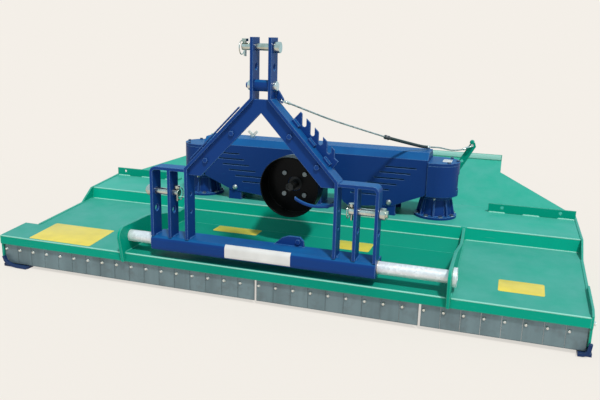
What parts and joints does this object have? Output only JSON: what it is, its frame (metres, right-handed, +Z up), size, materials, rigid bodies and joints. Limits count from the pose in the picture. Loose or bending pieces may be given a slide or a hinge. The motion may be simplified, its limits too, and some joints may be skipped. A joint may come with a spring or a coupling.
{
  "type": "offset rotary mulching mower",
  "caption": "Tractor-mounted rotary mulching mower: wide deck with a front flap curtain, belt-driven upright rotors and a sliding three-point headstock.",
  "frame": {"origin": "on the ground, under the middle of the machine's bounding box", "axes": "+X across the machine towards its right side as seen from behind the tractor's hitch looking at the front curtain, +Y to the rear of the machine, +Z up"},
  "size_m": [2.426, 1.39, 1.015],
  "materials": {
    "green_paint": "gloss",
    "blue_paint": "gloss",
    "flap_steel": "satin",
    "zinc": "satin",
    "galvanised": "satin",
    "bare_steel": "satin",
    "pulley_iron": "matte",
    "bell_black": "gloss",
    "belt_rubber": "matte",
    "bush_bronze": "satin",
    "wire_rope": "satin",
    "cable_sleeve": "matte"
  },
  "bodies": {
    "deck": {"left_wing": "green_paint", "right_wing": "green_paint", "centre_pan": "green_paint", "top_deck": "green_paint", "rear_wall": "green_paint", "left_end_plate": "green_paint", "right_end_plate": "green_paint", "skids": "blue_paint", "gussets": "green_paint", "rear_angles": "green_paint", "rear_lug": "green_paint", "flap_rod": "zinc", "hubs": "blue_paint", "flange_bolts": "zinc", "belt_guards": "blue_paint", "guard_lids": "blue_paint", "belt_cover": "blue_paint", "cover_feet": "blue_paint", "cover_fixings": "zinc", "gear_case": "blue_paint", "input_tube": "blue_paint", "pto_bell": "bell_black", "bearings": "bare_steel", "belts": "belt_rubber", "cable_rear": "cable_sleeve"},
    "left_flap_bank": {"left_flaps": "flap_steel", "left_flap_bolts": "zinc"},
    "centre_flap_bank": {"centre_flaps": "flap_steel", "centre_flap_bolts": "zinc"},
    "right_flap_bank": {"right_flaps": "flap_steel", "right_flap_bolts": "zinc"},
    "input": {"input_shaft": "bare_steel"},
    "upright": {"upright_shaft": "bare_steel", "drive_pulley": "pulley_iron"},
    "rotor_left": {"left_rotor": "bare_steel", "left_pulley": "pulley_iron", "left_pivots": "zinc"},
    "rotor_right": {"right_rotor": "bare_steel", "right_pulley": "pulley_iron", "right_pivots": "zinc"},
    "blade_left_a": {"left_blade_a": "bare_steel"},
    "blade_left_b": {"left_blade_b": "bare_steel"},
    "blade_right_a": {"right_blade_a": "bare_steel"},
    "blade_right_b": {"right_blade_b": "bare_steel"},
    "tube": {"offset_tube": "galvanised"},
    "headstock": {"slide_bushes": "bush_bronze", "headstock_beam": "blue_paint", "hitch_frame": "blue_paint", "left_mast": "blue_paint", "right_mast": "blue_paint", "mast_web": "blue_paint", "mast_spacer": "blue_paint", "mast_bolts": "zinc", "comb_rack": "blue_paint", "rest_hook": "blue_paint", "hitch_pins": "zinc", "wire_upper": "wire_rope"},
    "linchpin_left": {"left_linchpin": "zinc"},
    "linchpin_right": {"right_linchpin": "zinc"},
    "linchpin_top": {"top_linchpin": "zinc"}
  },
  "joints": [
    {"name": "left_flap_swing", "type": "hinge", "parent": "deck", "child": "left_flap_bank", "pos_m": [0, -0.65, 0.118], "axis": [1, 0, 0], "range_deg": [0, 70]},
    {"name": "centre_flap_swing", "type": "hinge", "parent": "deck", "child": "centre_flap_bank", "pos_m": [0, -0.65, 0.118], "axis": [1, 0, 0], "range_deg": [0, 70]},
    {"name": "right_flap_swing", "type": "hinge", "parent": "deck", "child": "right_flap_bank", "pos_m": [0, -0.65, 0.118], "axis": [1, 0, 0], "range_deg": [0, 70]},
    {"name": "left_rotor_spin", "type": "hinge", "parent": "deck", "child": "rotor_left", "pos_m": [-0.5685, 0.068, 0.3], "axis": [0, 0, 1], "continuous": true},
    {"name": "right_rotor_spin", "type": "hinge", "parent": "deck", "child": "rotor_right", "pos_m": [0.5875, 0.068, 0.3], "axis": [0, 0, 1], "continuous": true},
    {"name": "upright_spin", "type": "hinge", "parent": "deck", "child": "upright", "pos_m": [0.0095, 0.068, 0.4], "axis": [0, 0, 1], "continuous": true},
    {"name": "input_spin", "type": "hinge", "parent": "deck", "child": "input", "pos_m": [0.0095, 0, 0.398], "axis": [0, 1, 0], "continuous": true},
    {"name": "left_blade_a_swing", "type": "hinge", "parent": "rotor_left", "child": "blade_left_a", "pos_m": [-0.25129, 0.21592, 0.0915], "axis": [0, 0, 1], "range_deg": [-100, 100]},
    {"name": "left_blade_b_swing", "type": "hinge", "parent": "rotor_left", "child": "blade_left_b", "pos_m": [-0.88571, -0.07992, 0.0915], "axis": [0, 0, 1], "range_deg": [-100, 100]},
    {"name": "right_blade_a_swing", "type": "hinge", "parent": "rotor_right", "child": "blade_right_a", "pos_m": [0.90471, -0.07992, 0.0915], "axis": [0, 0, 1], "range_deg": [-100, 100]},
    {"name": "right_blade_b_swing", "type": "hinge", "parent": "rotor_right", "child": "blade_right_b", "pos_m": [0.27029, 0.21592, 0.0915], "axis": [0, 0, 1], "range_deg": [-100, 100]},
    {"name": "float", "type": "hinge", "parent": "deck", "child": "tube", "pos_m": [0, -0.614, 0.203], "axis": [1, 0, 0], "range_deg": [-6, 6]},
    {"name": "side_shift", "type": "slide", "parent": "tube", "child": "headstock", "axis": [1, 0, 0], "range_m": [-0.12, 0.245]},
    {"name": "left_linchpin_lift", "type": "slide", "parent": "headstock", "child": "linchpin_left", "axis": [0, 0, 1], "range_m": [0, 0.05]},
    {"name": "right_linchpin_lift", "type": "slide", "parent": "headstock", "child": "linchpin_right", "axis": [0, 0, 1], "range_m": [0, 0.05]},
    {"name": "top_linchpin_lift", "type": "slide", "parent": "headstock", "child": "linchpin_top", "axis": [0, 0, 1], "range_m": [0, 0.05]}
  ],
  "couplings": [
    {"joint": "right_rotor_spin", "follows": "left_rotor_spin", "ratio": 1},
    {"joint": "upright_spin", "follows": "left_rotor_spin", "ratio": 0.80556},
    {"joint": "input_spin", "follows": "left_rotor_spin", "ratio": -0.54924}
  ]
}
